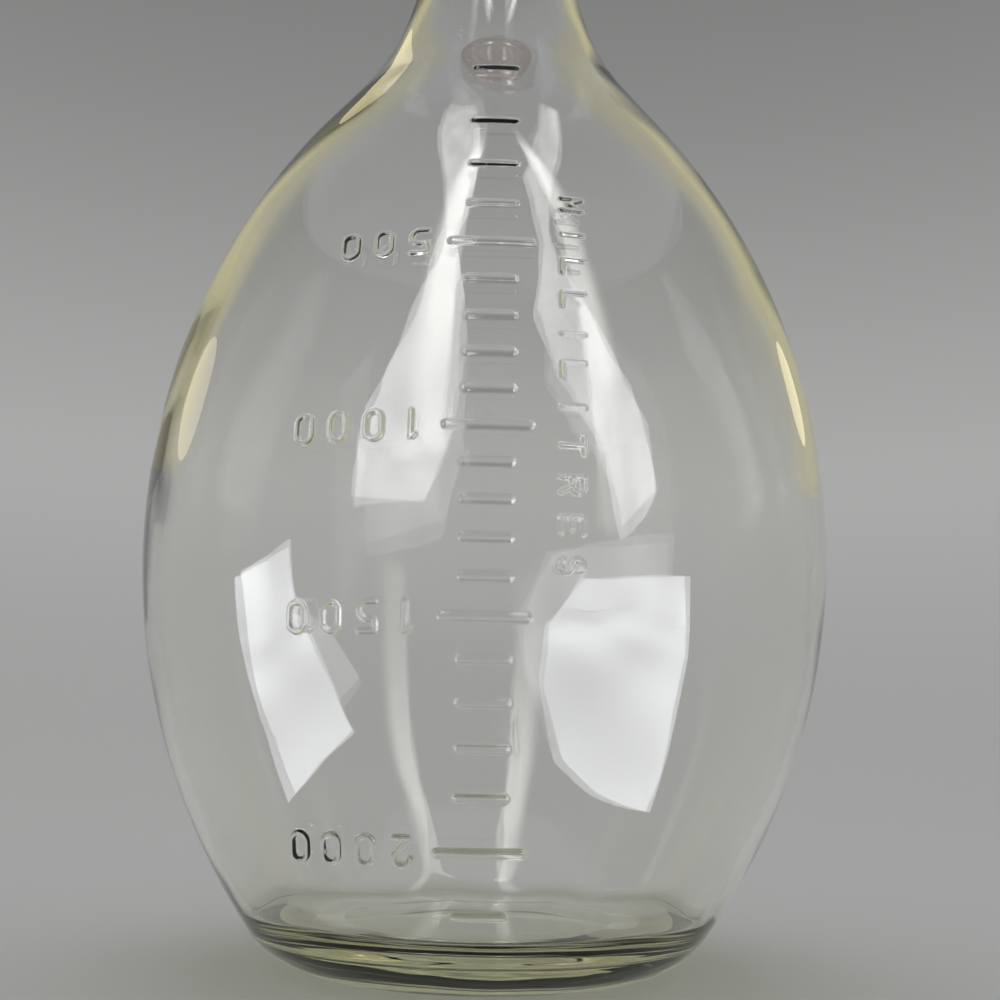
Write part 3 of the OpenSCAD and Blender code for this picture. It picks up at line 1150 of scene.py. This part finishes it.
def sweep_material():
    """A pale floor that keeps shadows, a wall that glows for camera, mirrored and see-through rays
    with painted shade darkening it upwards, and a front painted dark as shade.
    """
    material, tree = empty_material("pale_sweep")
    place = add_node(tree, "ShaderNodeTexCoord").outputs["Object"]
    parts = add_node(tree, "ShaderNodeSeparateXYZ", {0: place}).outputs
    path = add_node(tree, "ShaderNodeLightPath").outputs
    # Painted shade: the front of the sweep, beyond the camera, is painted a darker grey and does
    # not glow; this factor is 0 there and 1 towards the back.
    behind = remapped(tree, parts["Y"], (-1.9, -0.6))
    wall = remapped(tree, parts["Z"], (0.02, 0.5))
    rays = worked_out(tree, "MAXIMUM", path["Is Glossy Ray"], path["Is Transmission Ray"])
    rays = worked_out(tree, "MAXIMUM", path["Is Camera Ray"], rays)
    # Where the wall glows in place of taking light: for camera, mirrored and see-through rays,
    # above the floor and away from the painted dark front.
    even = worked_out(tree, "MULTIPLY", worked_out(tree, "MULTIPLY", rays, wall), behind)
    # Painted shade: the wall's glow falls from full strength near the floor to 0.4 of it up high.
    painted_upward_shade = remapped(tree, parts["Z"], (-0.6, 1.9), (1.0, 0.4))
    tone = add_node(tree, "ShaderNodeEmission", {"Color": PALE_GREY, "Strength": painted_upward_shade})
    # Base colour: 0.42 grey in front as painted shade, pale grey behind.
    shader = add_node(
        tree,
        "ShaderNodeBsdfPrincipled",
        {
            "Base Color": mixed_colour(tree, behind, (0.42, 0.42, 0.42, 1), PALE_GREY),
            "Roughness": 0.9,
            "Specular IOR Level": 0,
        },
    )
    mix = add_node(
        tree, "ShaderNodeMixShader", {0: even, 1: shader.outputs["BSDF"], 2: tone.outputs[0]}
    )
    add_node(tree, "ShaderNodeOutputMaterial", {"Surface": mix.outputs[0]})
    return material


def make_sweep():
    """A round floor that bends up into a wall all the way round."""
    floor_r, bend_r, wall_z = 0.5, 1.8, 2.6
    outline = joined(
        [(0, 0)],
        line((0, 0), (floor_r, 0), 0.1),
        arc((floor_r, bend_r), bend_r, -QUARTER_TURN, 0, 0.08),
        line((floor_r + bend_r, bend_r), (floor_r + bend_r, wall_z), 0.3),
    )
    steps = 96
    verts, faces = [], []
    for r, z in outline:
        for i in range(steps):
            a = 2 * math.pi * i / steps
            verts.append((r * math.cos(a), r * math.sin(a), z))
    for low in range(0, (len(outline) - 1) * steps, steps):
        high = low + steps
        for i in range(steps):
            j = (i + 1) % steps
            faces.append((low + i, low + j, high + j, high + i))
    sweep = mesh_object("studio_sweep", verts, faces)
    sweep.data.shade_smooth()
    sweep.data.materials.append(sweep_material())


def make_sky():
    """An even pale sky."""
    world = bpy.data.worlds.new("studio_sky")
    world.use_nodes = True
    sky = world.node_tree.nodes["Background"].inputs
    sky["Color"].default_value = (0.93, 0.96, 1, 1)
    sky["Strength"].default_value = 0.5
    bpy.context.scene.world = world


def make_panels():
    """Two tall soft panels in front, and a faint warm glowing panel on each side behind the bottle.
    """
    left = glowing_material("left_panel_face", 4.4, 0.12, 0.5, 0.12)
    right = glowing_material("right_panel_face", 4.0, 0.12, 0.5, 0.3)
    tall_panel("tall_panel_left", -13, -30, 2, 84, left)
    tall_panel("tall_panel_right", 33, 46, 2, 84, right)
    # Warm panels that glow though they are no lamps. Hidden from the camera, from diffuse light and
    # from shadows, they show only in the glass, as painted warm light along its edges.
    warm_face = glowing_material("warm_wall_face", 0.5, 0.35, 0.35, 0.5, (1, 0.95, 0.6))
    for name, near, far in (("warm_wall_left", -115, -162), ("warm_wall_right", 115, 162)):
        wall = tall_panel(name, near, far, -2.8, 70, warm_face, 1.75)
        wall.visible_diffuse = False
        wall.visible_shadow = False


def make_windows():
    """Two bright cards that the glass mirrors as windows, each with a fainter second image."""
    bright = window_material("window_face", 3.8, 6.2)
    faint = window_material("window_edge_face", 1.4, 2.2)
    window_card(
        "window_left",
        [(-82, -59), (-84, -88), (-81, -118), (-127, -146), (-245, -203), (-369, -258),
         (-414, -176), (-441, -90), (-262, -78), (-133, -68)],
        [(-78.5, 1, 64), (-67, 1, 76), (-58, 1, 91), (-56.5, 1, 30)],
        bright,
    )
    window_card(
        "window_edge_left",
        [(-110, -135), (-112, -171), (-218, -234), (-352, -280), (-369, -258), (-245, -203),
         (-127, -146)],
        [(-56.5, 1, 35), (-51.5, 1, 2)],
        faint,
    )
    window_card(
        "window_right",
        [(71, -67), (61, -79), (52, -91), (43, -114), (53, -187), (111, -336), (166, -418),
         (313, -324), (401, -204), (272, -149), (157, -104), (105, -81)],
        [(21.7, 1, 2), (27, 1, 43), (44, 1, 54), (61, 1, 66), (63, 1, 2)],
        bright,
    )
    window_card(
        "window_edge_right",
        [(43, -114), (45, -152), (43, -202), (63, -354), (92, -440), (166, -418), (111, -336),
         (53, -187)],
        [(11.8, 1, 2), (18, 1, 74), (21.7, 2, 80), (27, 43, 86), (44, 54, 107), (55, 62, 115)],
        faint,
    )


def make_lamps():
    """Warm lamps behind the bottle that glint in its sides, and a soft light from above."""
    for name, azimuth, elevation, size, power in (
        ("shoulder_lamp_left", -152, 51, 0.3, 0.26),
        ("side_lamp_left", -118, 21, 0.36, 0.48),
        ("side_lamp_right", 133, 21, 0.26, 0.25),
    ):
        place = from_bottle(azimuth, elevation, 1.5)
        lamp = soft_lamp(name, place, BOTTLE_MIDDLE, size, power)
        lamp.data.color = (1, 0.86, 0.5)
        lamp.visible_transmission = False
    fill = soft_lamp("overhead_fill", (0, 0.2, 2.3), (0, 0.2, 0), 1.5, 19)
    fill.visible_glossy = False
    fill.visible_transmission = False


def make_camera():
    """The camera at the photograph's place and angle."""
    data = bpy.data.cameras.new("photo_camera")
    data.sensor_width = SENSOR_MM
    data.lens = LENS_MM
    camera = bpy.data.objects.new("photo_camera", data)
    bpy.context.scene.collection.objects.link(camera)
    rise, turn, roll = CAMERA_RISE, CAMERA_TURN, CAMERA_ROLL
    level = Vector((math.cos(turn), -math.sin(turn), 0))
    flat = math.cos(rise)
    forward = Vector((math.sin(turn) * flat, math.cos(turn) * flat, math.sin(rise)))
    upright = level.cross(forward)
    right = level * math.cos(roll) + upright * math.sin(roll)
    up = upright * math.cos(roll) - level * math.sin(roll)
    axes = Matrix((right, up, -forward)).transposed()
    camera.matrix_world = Matrix.Translation(CAMERA_PLACE) @ axes.to_4x4()
    bpy.context.scene.camera = camera


make_camera()
handling_marks = surface_marks_group()
bottle_glass = glass_material(
    "clear_bottle_glass", tint=(0.6, 0.6, 0.22, 1), density=13, marks=handling_marks, hazy=0.03
)
tube_glass = glass_material(
    "clear_tube_glass", tint=(0.6, 0.75, 0.6, 1), density=10, marks=handling_marks, hazy=0.02
)
rubber = rubber_material("red_rubber", handling_marks)
make_bottle(bottle_glass)
turned = turned_tree()
for name, node, axis_x, sizes in (
    ("outlet_tube_glass", "outlet_tube", -TUBE_OFFSET,
     (OUTLET_R, OUTLET_BORE_R, OUTLET_INSIDE, OUTLET_FREE)),
    ("air_tube_glass", "air_tube", TUBE_OFFSET, (AIR_R, AIR_BORE_R, AIR_INSIDE, AIR_FREE)),
):
    make_tube(name, node, tube_outline(*sizes), axis_x, tube_glass, turned)
make_stopper(rubber, turned)
make_sweep()
make_sky()
make_panels()
make_windows()
make_lamps()
bpy.context.scene.view_settings.view_transform = "Standard"
